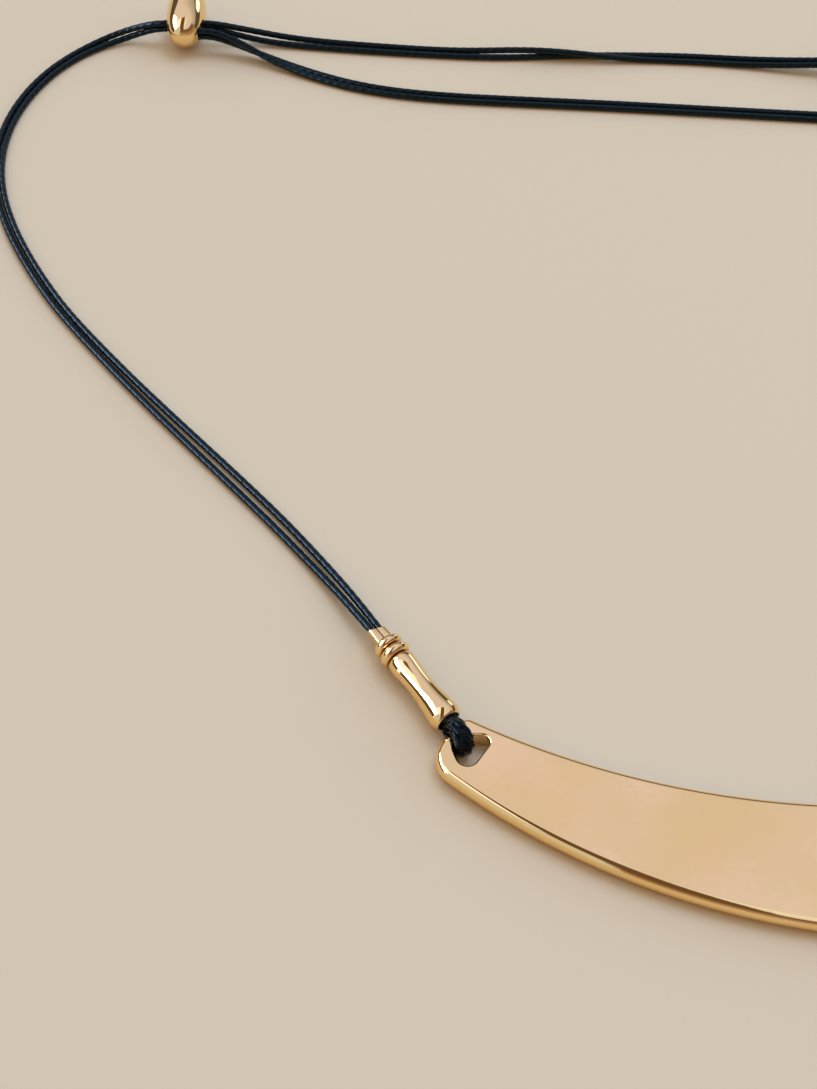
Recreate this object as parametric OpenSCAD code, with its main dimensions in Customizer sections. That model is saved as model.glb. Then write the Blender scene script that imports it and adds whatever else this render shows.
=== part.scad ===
// Statement necklace: a flat polished crescent hung by two looped end caps
// on doubled waxed cords, which a slider bead closes at the back.
// X runs along the crescent, Y to the back of the neck, Z up from the surface.
// The origin is the middle of the crescent's flat underside.

/* [Plate] */
// Radius of the edge towards the neck
inner_r = 97.5; // [96:0.5:100]
// Radius of the front edge
outer_r = 86; // [85:0.5:87]
// Width in the middle
plate_w = 16.6; // [16:0.2:17.4]
// Thickness
plate_t = 2.5; // [2.4:0.1:2.8]
// How far in the rounded edge reaches
edge_w = 0.9; // [0.5:0.1:1]
// Sideways place of the end edge
end_x = 66; // [65.8:0.1:66.4]
// Place of the end edge towards the back
end_y = 29; // [28.8:0.1:29.2]
// Slope of the end edge in degrees
end_turn = 36.5; // [35:0.5:38]
// Corner radius towards the neck
far_r = 1.2; // [1:0.1:1.5]
// Corner radius at the front
near_r = 3.6; // [3:0.2:4.2]

/* [Hole and loop] */
// Depth of the recess that holds the loop under the plate
recess_t = 1.2; // [1.2:0.05:1.3]
// Width of that recess
recess_w = 2.9; // [2.8:0.1:3.2]
// Width of the loop's cord
loop_w = 2.1; // [1.9:0.05:2.15]
// Direction of the loop, from its cap into the hole, in degrees
loop_turn = 283; // [281:1:285]

/* [End caps] */
// Length of a cap
cap_len = 15.5; // [15:0.5:17]
// Sideways place of the cap's mouth
cap_x = 65; // [64.8:0.1:65.2]
// Place of the cap's mouth towards the back
cap_y = 31; // [31:0.1:31.4]
// Direction from the mouth to the neck, in degrees
cap_turn = 112.8; // [112:0.2:114]
// Largest radius, at the collar
collar_r = 2; // [2:0.05:2.2]
// Width of the neck
neck_w = 2.24; // [2.24:0.04:2.4]
// Height of the neck
neck_t = 1.9; // [1.8:0.05:2]
// Slopes of the neck's end edge, sideways and in height, in degrees
neck_slant = 16; // [0:1:18]
neck_lean = 20; // [0:1:22]
// Radius of the mouth's bore
mouth_r = 1.42; // [1.42:0.02:1.5]
// Depth of both bores
bore_t = 3; // [2.5:0.25:4]

/* [Slider bead] */
// Diameter
bead_d = 6.4; // [6.2:0.1:7]
// Length
bead_len = 12; // [11.6:0.2:13]
// Sideways place of its middle
bead_x = -78.2; // [-78.6:0.1:-77.8]
// Place of its middle towards the back
bead_y = 166.7; // [166.4:0.1:167]
// Direction of its length in degrees
bead_turn = 78; // [76:1:80]

/* [Cords] */
// Diameter of a waxed cord
cord_d = 1; // [0.9:0.05:1]
// Radius of the knot at the end of the tail
knot_r = 1.9; // [1.7:0.1:2.2]

/* [Hidden] */
eps = 0.01;
gold = [0.86, 0.68, 0.36];
black = [0.05, 0.07, 0.09];

// Steps of half a long edge, of a corner and of the rounded edge
arc_steps = 20;
corner_steps = 8;
edge_steps = 8;
// Corners of the plate's left hole: [x, y, radius]
hole_corners = [[-65.5, 29, 1.6], [-65, 23.2, 1.3], [-60, 27.7, 0.9]];

// The cap's body from its mouth: [distance, radius]
cap_body = [
    [0, 1.6], [0.25, 1.78], [0.7, 1.92], [1.3, 1.97], [2.2, 1.9], [3.5, 1.73], [5, 1.59],
    [6.5, 1.57], [8, 1.65], [9.1, 1.75], [9.8, 1.74], [10.2, 1.62], [10.4, 1.48]
];
// The cap's two rings: [distance, radius over the ring, roundness]
cap_rings = [[11.3, collar_r, 0.66], [12.75, 1.86, 0.55]];
core_r = 1.25;
core_from = 10;
core_to = 12.6;
// The folded neck from inside the second ring, its corners, and the width and height of its bore
neck_from = 12.4;
neck_corner = 0.5;
neck_bore = [1.92, 1.3];

// The loop's two legs lie one above the other in the cap's mouth
leg_t = 1.3;
leg_rise = 0.7;
// The loop between its legs, over the plate's end bar, down the hole and back below the bar:
// [distance from the mouth, height, sideways, width, thickness]
loop_rows = [
    [0.3, 2.7, 0, loop_w, 1.3], [0.8, 3, 0, loop_w, 1.5], [1.3, 3.42, 0.05, 2.2, 1.65],
    [1.9, 3.68, 0.1, 2.3, 1.8], [2.6, 3.7, 0.15, 2.4, 1.85], [3.5, 3.45, 0.2, 2.5, 1.85],
    [4.15, 2.6, 0.2, 2.5, 1.8], [4.15, 1.7, 0.1, 2.3, 1.7], [3.9, 0.95, 0, 2.2, 1.35],
    [3.15, 0.58, 0, 2.3, 1.1], [2.3, 0.57, 0, 2.3, 1.02], [1.6, 0.56, 0, 2.3, 1],
    [1.1, 0.56, 0, 2.2, 0.98], [0.75, 0.66, 0, loop_w, 0.98], [0.4, 1.05, 0, loop_w, 1.1],
    [0.05, 1.3, 0, loop_w, 1.25]
];
loop_sides = 12;
loop_steps = 2;

// Each pair of cords: [x, y, height, distance between the two, roll of the pair]
left_rows = [
    [-72.4, 48.6, 1.9, 1.1, 0], [-74.2, 53.2, 1.1, 1.3, 0], [-76.8, 58.8, 0.5, 1.5, 0],
    [-80, 65, 0.5, 1.6, 0], [-85.2, 74, 0.5, 1.6, 0], [-90.6, 83.2, 0.5, 1.45, 0],
    [-96, 92.6, 0.5, 1.25, 0], [-101, 102, 0.5, 1.1, 0], [-104.5, 109, 0.5, 1.1, 0], [-107.5, 117, 0.5, 1.1, 0],
    [-110, 125.5, 0.5, 1.1, 0], [-111.3, 133.5, 0.5, 1.1, 0], [-111.2, 141, 0.5, 1.1, 0],
    [-109.5, 148.5, 0.5, 1.1, 0], [-106, 155.5, 0.5, 1.1, 0], [-101, 161.5, 0.5, 1.1, 0],
    [-95, 165.5, 0.5, 1.1, 0], [-89.5, 167, 1, 1.1, 40], [-85.5, 166.4, 2.3, 1.08, 80]
];
tail_rows = [
    [-71, 162.9, 2.3, 1.08, 70], [-66, 161.6, 1.1, 1.3, 30], [-60, 159.6, 0.5, 1.5, 0],
    [-48, 155.5, 0.5, 1.45, 0], [-36, 151.8, 0.5, 1.2, 0],
    [-29, 149.8, 0.9, 1.1, 40], [-22, 148.1, 1.15, 1.08, 90], [-15, 146.5, 0.9, 1.1, 140],
    [-8, 144.9, 0.5, 1.1, 180], [0.5, 142.8, 0.5, 1.3, 180], [9.5, 139.9, 0.5, 1.4, 180],
    [17.6, 136.9, 1.4, 1.2, 180]
];
knot_at = [26, 134];
right_rows = [
    [72.4, 48.6, 1.9, 1.1, 0], [74.4, 53.4, 1.1, 1.3, 0], [76.8, 59.4, 0.5, 1.5, 0],
    [79.2, 66, 0.5, 1.6, 0], [81, 73, 0.5, 1.6, 0], [81.5, 80.5, 0.5, 1.5, 0],
    [80.3, 88, 0.5, 1.4, 0], [77, 95, 0.5, 1.3, 0], [72, 101, 0.5, 1.2, 0],
    [65.5, 106, 0.5, 1.1, 0], [58, 110.2, 0.5, 1.1, 0], [50, 113.8, 0.5, 1.1, 0],
    [42, 116.9, 0.5, 1.1, 0], [34, 119.6, 0.5, 1.2, 0], [26, 122, 0.5, 1.3, 0],
    [18, 124.4, 0.5, 1.2, 0], [10, 126.8, 0.5, 1.1, 0], [2, 129.2, 0.5, 1.1, 0],
    [-6, 131.6, 0.5, 1.1, 0], [-14, 134, 0.5, 1.1, 0], [-22, 136.3, 0.5, 1.1, 0],
    [-30, 138.6, 0.5, 1.1, 0], [-38, 140.9, 0.5, 1.1, 0], [-46, 143.6, 0.5, 1.1, 0],
    [-53.5, 147, 0.5, 1.1, 0], [-60, 151.4, 0.5, 1.1, 0], [-65.5, 155.8, 0.8, 1.1, 20],
    [-70, 159.2, 2, 1.08, 70]
];
cord_sides = 8;
cord_steps = 2;

// Two cords lie beside each other in a neck, and one above the other in the bead
neck_spread = 0.96;
neck_cord = [0.92, 1.1];
slot_spread = 1.06;
slot_w = 1.2;
slot_h = 2.3;
// Places of the bead's two slots along its length, and how far across the blind one ends
slot_left = -2.2;
slot_right = -4.2;
blind_to = -0.4;
bead_power = 2.5;
bead_points = 28;

// How far past a solid the blocks reach that cut it
over = 1;

knot_len = 4.4;
knot_turn = -19;
// The knot's side is an arc over this many degrees to both sides, in steps
knot_span = 50;
knot_step = 10;
stub_len = 3;

inner_c = [0, plate_w / 2 + inner_r];
outer_c = [0, outer_r - plate_w / 2];
end_in = [sin(end_turn), -cos(end_turn)];
end_along = [-cos(end_turn), -sin(end_turn)];

// Arithmetic on points, arcs and rows
function unit(v) = v / norm(v);
function turned(a) = [cos(a), sin(a)];
function flipped(v) = [-v[0], v[1]];
function but_first(list) = [for (i = [1 : len(list) - 1]) list[i]];
function heading(v) = (atan2(v[1], v[0]) + 360) % 360;
function arc(c, r, from, to, side, n) =
    [for (i = [0 : n]) let (u = turned(from + (to - from) * i / n)) [c + r * u, side * u]];

// Centre of a corner of radius r that touches the end edge and lies far from c by reach
function corner_c(r, c, reach) =
    let (p = [-end_x, end_y] + r * end_in - c, b = p * end_along)
    c + p + (-b + sqrt(b * b - p * p + reach * reach)) * end_along;

// The plate's outline, each point with its outward direction
far_c = corner_c(far_r, inner_c, inner_r + far_r);
near_c = corner_c(near_r, outer_c, outer_r - near_r);
end_out = heading(-end_in);
half = concat(
    arc(inner_c, inner_r, 270, heading(far_c - inner_c), -1, arc_steps),
    but_first(arc(far_c, far_r, heading(inner_c - far_c), end_out, 1, corner_steps)),
    arc(near_c, near_r, end_out, heading(near_c - outer_c), 1, corner_steps),
    but_first(arc(outer_c, outer_r, heading(near_c - outer_c), 270, 1, arc_steps))
);
last = len(half) - 1;
outline = concat(
    half,
    [for (i = [last - 1 : -1 : 1]) [flipped(half[i][0]), flipped(half[i][1])]]
);
// The flat face between the two edges, seen from above, as strips of both halves
function strip(a, b, c, d, first) = [[first + a, first + b, first + c], [first + a, first + c, first + d]];
function flat_face(first) = [
    for (i = [0 : (last - 3) / 2])
    for (f = concat(
        strip(i, i + 1, last - i - 1, last - i, first),
        strip(i == 0 ? 0 : 2 * last - i, i == 0 ? last : last + i, last + i + 1, 2 * last - i - 1, first)
    )) f
];
// The rounded edge from the underside to the top: [inset, height]
edge_rows = [
    for (i = [0 : edge_steps])
    let (a = 180 * i / edge_steps - 90)
    [edge_w * (1 - cos(a)), plate_t / 2 * (1 + sin(a))]
];

// Faces of the sides of a skin over rings of n points each, and the face over one ring
function side_faces(rings, n) = [
    for (k = [0 : rings - 2], i = [0 : n - 1])
    for (f = strip(i, n + i, n + (i + 1) % n, (i + 1) % n, k * n)) f
];
function ring_face(first, n) = [for (i = [0 : n - 1]) first + i];
function backwards(face) = [for (i = [len(face) - 1 : -1 : 0]) face[i]];

// A uniform cubic curve pulled by the rows, which starts and ends on them
function blend(a, b, c, d, t) =
    ((1 - t) * (1 - t) * (1 - t) * a + (3 * t * t * t - 6 * t * t + 4) * b
    + (-3 * t * t * t + 3 * t * t + 3 * t + 1) * c + t * t * t * d) / 6;
function curve(rows, steps) =
    let (last = len(rows) - 1,
         full = concat([2 * rows[0] - rows[1]], rows, [2 * rows[last] - rows[last - 1]]))
    concat(
        [for (i = [0 : last - 1], s = [0 : steps - 1])
            blend(full[i], full[i + 1], full[i + 2], full[i + 3], s / steps)],
        [rows[last]]
    );
function tangent(points, i) =
    unit(points[min(i + 1, len(points) - 1)] - points[max(i - 1, 0)]);

// A tube of oval rings: each place has its width and its height, lat is its sideways direction
module tube(places, lats, sizes, sides) {
    count = len(places);
    points = [
        for (k = [0 : count - 1])
        let (t = tangent(places, k), across = unit(lats[k] - (lats[k] * t) * t), up = cross(across, t))
        for (i = [0 : sides - 1])
        let (a = 360 * (i + 0.5) / sides)
        places[k] + sizes[k][0] / 2 * cos(a) * across + sizes[k][1] / 2 * sin(a) * up
    ];
    polyhedron(
        points,
        concat(
            side_faces(count, sides),
            [ring_face(0, sides), backwards(ring_face((count - 1) * sides, sides))]
        )
    );
}

module on_the_right() mirror([1, 0, 0]) children();

// A corner of the plate's hole, rounded by an arc
function hole_corner(i) =
    let (at = function (k) [hole_corners[k % 3][0], hole_corners[k % 3][1]], r = hole_corners[i][2],
         before = unit(at(i + 2) - at(i)), after = unit(at(i + 1) - at(i)),
         inwards = unit(before + after), half_turn = acos(before * after) / 2,
         out = heading(-inwards))
    [
        for (p = arc(at(i) + r / sin(half_turn) * inwards, r,
                     out - 90 + half_turn, out + 90 - half_turn, 1, corner_steps)) p[0]
    ];

module hole() {
    translate([0, 0, -eps])
        linear_extrude(plate_t + 2 * eps)
            polygon([for (i = [0 : 2]) each hole_corner(i)]);
}

module recess() {
    reach = 4;
    translate([-cap_x, cap_y, -eps])
        rotate([0, 0, loop_turn])
            translate([0, -recess_w / 2, 0])
                cube([reach, recess_w, recess_t + eps]);
}

module plate() {
    color(gold)
        difference() {
            polyhedron(
                [for (row = edge_rows, o = outline) [each (o[0] - o[1] * row[0]), row[1]]],
                concat(
                    side_faces(len(edge_rows), len(outline)),
                    flat_face(0),
                    [for (f = flat_face(edge_steps * len(outline))) backwards(f)]
                )
            );
            hole();
            recess();
            on_the_right() hole();
            on_the_right() recess();
        }
}

// A block along Z with rounded corners: its section's width lies across the cap
module rounded_block(size, long) {
    linear_extrude(long)
        offset(neck_corner, $fn = 32)
            square([size[1] - 2 * neck_corner, size[0] - 2 * neck_corner], center = true);
}

module end_cap() {
    body_to = cap_body[len(cap_body) - 1][0];
    color(gold)
        translate([-cap_x, cap_y, collar_r])
            rotate([0, 0, cap_turn])
                rotate([0, 90, 0])
                    difference() {
                        union() {
                            rotate_extrude($fn = 64)
                                polygon([
                                    [0, 0], each [for (row = cap_body) [row[1], row[0]]], [0, body_to]
                                ]);
                            for (ring = cap_rings)
                                rotate_extrude($fn = 64)
                                    translate([ring[1] - ring[2], ring[0]])
                                        circle(ring[2], $fn = 32);
                            translate([0, 0, core_from])
                                cylinder(h = core_to - core_from, r = core_r, $fn = 64);
                            translate([0, 0, neck_from])
                                rounded_block([neck_w, neck_t], cap_len - neck_from + over);
                        }
                        translate([0, 0, -over])
                            cylinder(h = bore_t + over, r = mouth_r, $fn = 64);
                        translate([0, 0, cap_len - bore_t])
                            rounded_block(neck_bore, bore_t + over);
                        translate([0, 0, cap_len])
                            rotate([neck_slant, -neck_lean, 0])
                                translate([-collar_r, -collar_r, 0])
                                    cube(2 * collar_r);
                    }
}

// A place on the loop: below 0 it follows the cap's bore, past 0 its own direction
function loop_place(row) =
    let (turn = row[0] < 0 ? cap_turn + 180 : loop_turn)
    concat([-cap_x, cap_y] + row[0] * turned(turn) + row[2] * turned(turn + 90), row[1]);

module loop() {
    leg_ins = [-bore_t, -bore_t / 2, -0.4];
    top = [for (s = leg_ins) [s, collar_r + leg_rise, 0, loop_w, leg_t]];
    low = [for (i = [2 : -1 : 0]) [leg_ins[i], collar_r - leg_rise, 0, loop_w, leg_t]];
    rows = curve(concat(top, loop_rows, low), loop_steps);
    color(black)
        tube(
            [for (row = rows) loop_place(row)],
            [for (row = rows) [each turned(row[0] < 0 ? cap_turn + 270 : loop_turn + 90), 0]],
            [for (row = rows) [row[3], row[4]]],
            loop_sides
        );
}

// Rows of a pair of cords in the neck of a cap, and in a slot of the bead
function in_neck() = [
    for (d = [cap_len - bore_t, cap_len - bore_t / 2, cap_len])
        [each ([-cap_x, cap_y] + d * turned(cap_turn)), collar_r, neck_spread, 0, each neck_cord]
];
function in_slot(slot, across) = [
    for (d = across)
        [each ([bead_x, bead_y] + slot * turned(bead_turn) + d * turned(bead_turn - 90)),
         bead_d / 2, slot_spread, 90, cord_d, cord_d]
];
function flip_rows(rows) = [for (row = rows) [-row[0], for (i = [1 : 6]) row[i]]];
function with_size(rows) = [for (row = rows) concat(row, [cord_d, cord_d])];

left_pair = concat(
    in_neck(), with_size(left_rows), in_slot(slot_left, [-4.5, -1.5, 1.5, 4.5]),
    with_size(tail_rows),
    with_size([
        for (d = [knot_len / 2 + stub_len, knot_len / 2])
        [each (knot_at - d * turned(knot_turn)), knot_r, slot_spread, 180]
    ])
);
right_pair = concat(
    flip_rows(in_neck()), with_size(right_rows), in_slot(slot_right, [5, 2.5, 1, blind_to])
);

// One cord of a pair: side is 1 or -1
module cord(pair, side) {
    rows = curve(pair, cord_steps);
    middles = [for (row = rows) [row[0], row[1], row[2]]];
    lats = [for (i = [0 : len(rows) - 1]) let (t = tangent(middles, i)) unit([-t[1], t[0], 0])];
    color(black)
        tube(
            [
                for (i = [0 : len(rows) - 1])
                middles[i] + side * rows[i][3] / 2 * (cos(rows[i][4]) * lats[i] + [0, 0, sin(rows[i][4])])
            ],
            lats,
            [for (row = rows) [row[5], row[6]]],
            cord_sides
        );
}

// A slot across the bead, open on the right, from which it goes as far left as to says
module slot(at, to) {
    depth = bead_d / 2 + over - to;
    rise = slot_h - slot_w;
    rotate([90, 0, 0])
        for (part = [-1, 1])
            translate([at, part * rise / 2, to]) cylinder(h = depth, r = slot_w / 2, $fn = 48);
    translate([at - slot_w / 2, -to - depth, -rise / 2]) cube([slot_w, depth, rise]);
}

module slider_bead() {
    half_len = bead_len / 2;
    color(gold)
        translate([bead_x, bead_y, bead_d / 2])
            rotate([0, 0, bead_turn])
                difference() {
                    rotate([0, 90, 0])
                        rotate_extrude($fn = 64)
                            polygon([
                                for (i = [0 : bead_points])
                                let (z = -half_len * cos(180 * i / bead_points))
                                [
                                    bead_d / 2 * pow(1 - pow(abs(z) / half_len, bead_power), 1 / bead_power),
                                    z
                                ]
                            ]);
                    slot(slot_left, -bead_d / 2 - over);
                    slot(slot_right, blind_to);
                }
}

module tail_knot() {
    color(black)
        translate([each knot_at, knot_r])
            rotate([0, 0, knot_turn])
                rotate([0, 90, 0]) {
                    rotate_extrude($fn = 48)
                        polygon([
                            [0, -knot_len / 2],
                            for (a = [-knot_span : knot_step : knot_span])
                            [knot_r * cos(a), knot_len / 2 * sin(a) / sin(knot_span)],
                            [0, knot_len / 2]
                        ]);
                    for (side = [-1, 1])
                        translate([0, side * slot_spread / 2, 0])
                            cylinder(h = knot_len / 2 + stub_len, r = cord_d / 2, $fn = 32);
                }
}

plate();
end_cap();  // end_cap_left
on_the_right() end_cap();  // end_cap_right
loop();  // loop_left
on_the_right() loop();  // loop_right
cord(left_pair, 1);  // cord_left_a
cord(left_pair, -1);  // cord_left_b
cord(right_pair, 1);  // cord_right_a
cord(right_pair, -1);  // cord_right_b
slider_bead();
tail_knot();
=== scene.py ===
from math import acos, atan2, cos, degrees, hypot, pi, prod, radians, sin, sqrt

import bmesh
import bpy
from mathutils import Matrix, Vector


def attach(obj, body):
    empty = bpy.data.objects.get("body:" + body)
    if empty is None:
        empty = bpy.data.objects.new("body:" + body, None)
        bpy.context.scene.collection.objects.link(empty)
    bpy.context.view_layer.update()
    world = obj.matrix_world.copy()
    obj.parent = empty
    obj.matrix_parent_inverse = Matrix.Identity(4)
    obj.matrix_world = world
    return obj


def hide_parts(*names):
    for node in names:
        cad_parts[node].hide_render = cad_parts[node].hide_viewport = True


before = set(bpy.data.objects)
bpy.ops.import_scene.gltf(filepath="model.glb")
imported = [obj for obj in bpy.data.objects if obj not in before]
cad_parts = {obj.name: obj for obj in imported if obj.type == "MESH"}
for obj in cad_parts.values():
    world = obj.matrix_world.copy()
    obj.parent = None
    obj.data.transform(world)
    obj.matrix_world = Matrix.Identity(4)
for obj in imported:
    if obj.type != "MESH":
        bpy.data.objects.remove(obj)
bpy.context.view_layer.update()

mm = 0.001  # shapes are given in millimetres and degrees, and Blender's unit is the metre

# Camera

camera = {
    "place": (-89.24, -60.06, 172.93),
    "lens": 54.08,
    "sensor": 36,
    "near": 10,
    "tilt": 35,
    "turn": -12,
}

bpy.ops.object.select_all(action="DESELECT")
bpy.ops.object.camera_add(
    location=[v * mm for v in camera["place"]],
    rotation=(radians(camera["tilt"]), 0, radians(camera["turn"])),
)
eye = bpy.context.object
eye.data.lens = camera["lens"]
eye.data.sensor_width = camera["sensor"]
eye.data.clip_start = camera["near"] * mm
bpy.context.scene.camera = eye
print("camera placed")


# Directions, curves and tubes

def towards(turn):
    # unit vector in the plane of the floor, from its direction in degrees
    return Vector((cos(radians(turn)), sin(radians(turn)), 0))


def pulledCurve(rows, steps):
    # a uniform cubic curve pulled by the rows, which starts and ends on them
    first = [2 * a - b for a, b in zip(rows[0], rows[1])]
    final = [2 * a - b for a, b in zip(rows[-1], rows[-2])]
    rows = [first, *rows, final]
    out = []
    for i in range(len(rows) - 3):
        for s in range(steps):
            t = s / steps
            pull = (
                (1 - t) ** 3, 3 * t ** 3 - 6 * t * t + 4,
                -3 * t ** 3 + 3 * t * t + 3 * t + 1, t ** 3,
            )
            out.append([
                sum(p * row[k] for p, row in zip(pull, rows[i:i + 4])) / 6
                for k in range(len(rows[0]))
            ])
    out.append(rows[-2])
    return out


def tangents(places):
    last = len(places) - 1
    return [
        (places[min(i + 1, last)] - places[max(i - 1, 0)]).normalized()
        for i in range(last + 1)
    ]


def runsAlong(places):
    # how far along a line each of its places lies
    runs = [0]
    for a, b in zip(places, places[1:]):
        runs.append(runs[-1] + (b - a).length)
    return runs


def lengthOf(places):
    return runsAlong(places)[-1]


def cordTube(name, places, sideways, sizes, sides, plies, plyDepth, pitch):
    # a tube of oval rings that shows its twisted plies; its UV runs round and along it
    points, faces, corners = [], [], []
    along = runsAlong(places)
    rings = zip(places, sideways, tangents(places), sizes, along)
    for place, side, way, (wide, high), run in rings:
        across = (side - side.dot(way) * way).normalized()
        up = across.cross(way)
        for i in range(sides):
            a = 2 * pi * i / sides
            groove = 0.5 - 0.5 * cos(plies * (a - 2 * pi * run / pitch))
            reach = 1 - plyDepth * groove ** 2
            points.append(
                place + reach * (wide / 2 * cos(a) * across + high / 2 * sin(a) * up)
            )
    for k in range(len(places) - 1):
        for i in range(sides):
            j = (i + 1) % sides
            faces.append((k * sides + i, k * sides + j, (k + 1) * sides + j, (k + 1) * sides + i))
            corners += [
                (i / sides, along[k]), ((i + 1) / sides, along[k]),
                ((i + 1) / sides, along[k + 1]), (i / sides, along[k + 1]),
            ]
    final = (len(places) - 1) * sides
    faces.append(tuple(reversed(range(sides))))
    faces.append(tuple(range(final, final + sides)))
    corners += [(0.5, along[0])] * sides + [(0.5, along[-1])] * sides
    mesh = bpy.data.meshes.new(name)
    mesh.from_pydata(points, [], faces)
    layer = mesh.uv_layers.new(name="round and along")
    for loop, corner in zip(layer.data, corners):
        loop.uv = corner
    mesh.polygons.foreach_set("use_smooth", [True] * len(faces))
    piece = bpy.data.objects.new(name, mesh)
    bpy.context.collection.objects.link(piece)
    return piece


# Cords, and where the cap, the bead and the knot lie that hold them

cap = {
    "mouth": (-65, 31),
    "height": 2,
    "turn": 112.8,
    "length": 15.5,
    "bore": 3,
}
bead = {
    "middle": (-78.2, 166.7),
    "turn": 78,
    "length": 12,
    "diameter": 6.4,
    "leftSlot": -2.2,
    "rightSlot": -4.2,
    "leftRun": (-4.5, -1.5, 1.5, 4.5),  # places across the bead that guide the cords
    "rightRun": (5, 2.5, 1),
    "blindTo": -0.4,
}
knot = {
    "middle": (26, 134),
    "turn": -19,
    "radius": 1.9,
    "length": 4.4,
    "stub": 3,
}
cords = {
    "diameter": 1,
    "spread": 1.06,
    "neckSpread": 0.96,
    "neckSize": (0.92, 1.1),
    "steps": 48,
    "sides": 20,
    "plies": 3,
    "plyDepth": 0.06,
    "pitch": 4.2,
    # the middle line of each pair: [x, y, height, distance between the two, roll of the pair]
    "left": [
        (-72.4, 48.6, 1.9, 1.1, 0), (-74.2, 53.2, 1.1, 1.3, 0), (-76.8, 58.8, 0.5, 1.5, 0),
        (-80, 65, 0.5, 1.6, 0), (-85.2, 74, 0.5, 1.6, 0), (-90.6, 83.2, 0.5, 1.45, 0),
        (-96, 92.6, 0.5, 1.25, 0), (-101, 102, 0.5, 1.1, 0),
        (-104.5, 109, 0.5, 1.1, 0), (-107.5, 117, 0.5, 1.1, 0), (-110, 125.5, 0.5, 1.1, 0),
        (-111.3, 133.5, 0.5, 1.1, 0), (-111.2, 141, 0.5, 1.1, 0), (-109.5, 148.5, 0.5, 1.1, 0),
        (-106, 155.5, 0.5, 1.1, 0), (-101, 161.5, 0.5, 1.1, 0), (-95, 165.5, 0.5, 1.1, 0),
        (-89.5, 167, 1, 1.1, 40), (-85.5, 166.4, 2.3, 1.08, 80),
    ],
    "tail": [
        (-71, 162.9, 2.3, 1.08, 70), (-66, 161.6, 1.1, 1.3, 30), (-60, 159.6, 0.5, 1.5, 0),
        (-48, 155.5, 0.5, 1.45, 0), (-36, 151.8, 0.5, 1.2, 0),
        (-29, 149.8, 0.9, 1.1, 40), (-22, 148.1, 1.15, 1.08, 90), (-15, 146.5, 0.9, 1.1, 140),
        (-8, 144.9, 0.5, 1.1, 180), (0.5, 142.8, 0.5, 1.3, 180), (9.5, 139.9, 0.5, 1.4, 180),
        (17.6, 136.9, 1.4, 1.2, 180),
    ],
    "right": [
        (72.4, 48.6, 1.9, 1.1, 0), (74.4, 53.4, 1.1, 1.3, 0), (76.8, 59.4, 0.5, 1.5, 0),
        (79.2, 66, 0.5, 1.6, 0), (81, 73, 0.5, 1.6, 0), (81.5, 80.5, 0.5, 1.5, 0),
        (80.3, 88, 0.5, 1.4, 0), (77, 95, 0.5, 1.3, 0), (72, 101, 0.5, 1.2, 0),
        (65.5, 106, 0.5, 1.1, 0), (58, 110.2, 0.5, 1.1, 0), (50, 113.8, 0.5, 1.1, 0),
        (42, 116.9, 0.5, 1.1, 0), (34, 119.6, 0.5, 1.2, 0), (26, 122, 0.5, 1.3, 0),
        (18, 124.4, 0.5, 1.2, 0), (10, 126.8, 0.5, 1.1, 0), (2, 129.2, 0.5, 1.1, 0),
        (-6, 131.6, 0.5, 1.1, 0), (-14, 134, 0.5, 1.1, 0), (-22, 136.3, 0.5, 1.1, 0),
        (-30, 138.6, 0.5, 1.1, 0), (-38, 140.9, 0.5, 1.1, 0), (-46, 143.6, 0.5, 1.1, 0),
        (-53.5, 147, 0.5, 1.1, 0), (-60, 151.4, 0.5, 1.1, 0), (-65.5, 155.8, 0.8, 1.1, 20),
        (-70, 159.2, 2, 1.08, 70),
    ],
}
capMouth = Vector((*cap["mouth"], 0))
beadMiddle = Vector((*bead["middle"], 0))
knotMiddle = Vector((*knot["middle"], 0))


def neckRows(flip):
    # the pair from the cap's bore to the open air; flip is -1 on the right side
    rows = []
    for back in (cap["bore"], cap["bore"] / 2, 0):
        at = capMouth + (cap["length"] - back) * towards(cap["turn"])
        place = (flip * at.x, at.y, cap["height"])
        rows.append((*place, cords["neckSpread"], 0, *cords["neckSize"]))
    return rows


def slotRows(slot, across):
    # a pair that lies one over the other in a slot of the bead
    rows = []
    for d in across:
        at = beadMiddle + slot * towards(bead["turn"]) + d * towards(bead["turn"] - 90)
        rows.append((at.x, at.y, bead["diameter"] / 2, cords["spread"], 90, *roundSize))
    return rows


def knotRows():
    # the pair's last stretch, which ends at the knot
    rows = []
    for before in (knot["stub"], 0):
        at = knotMiddle - (knot["length"] / 2 + before) * towards(knot["turn"])
        rows.append((at.x, at.y, knot["radius"], cords["spread"], 180, *roundSize))
    return rows


def plain(rows):
    # rows whose cords are round: each gets the width and height of a cord
    return [(*row, *roundSize) for row in rows]


def cordOfPair(name, pair, side):
    # one cord of a pair: side is 1 or -1
    rows = pulledCurve(pair, cords["steps"])
    middles = [Vector(row[:3]) for row in rows]
    places, sideways, sizes = [], [], []
    for row, middle, way in zip(rows, middles, tangents(middles)):
        lateral = Vector((-way.y, way.x, 0)).normalized()
        roll = radians(row[4])
        off = side * row[3] / 2 * (cos(roll) * lateral + Vector((0, 0, sin(roll))))
        places.append((middle + off) * mm)
        sideways.append(lateral)
        sizes.append((row[5] * mm, row[6] * mm))
    piece = cordTube(
        name, places, sideways, sizes, cords["sides"],
        cords["plies"], cords["plyDepth"], cords["pitch"] * mm,
    )
    return piece, places


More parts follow.
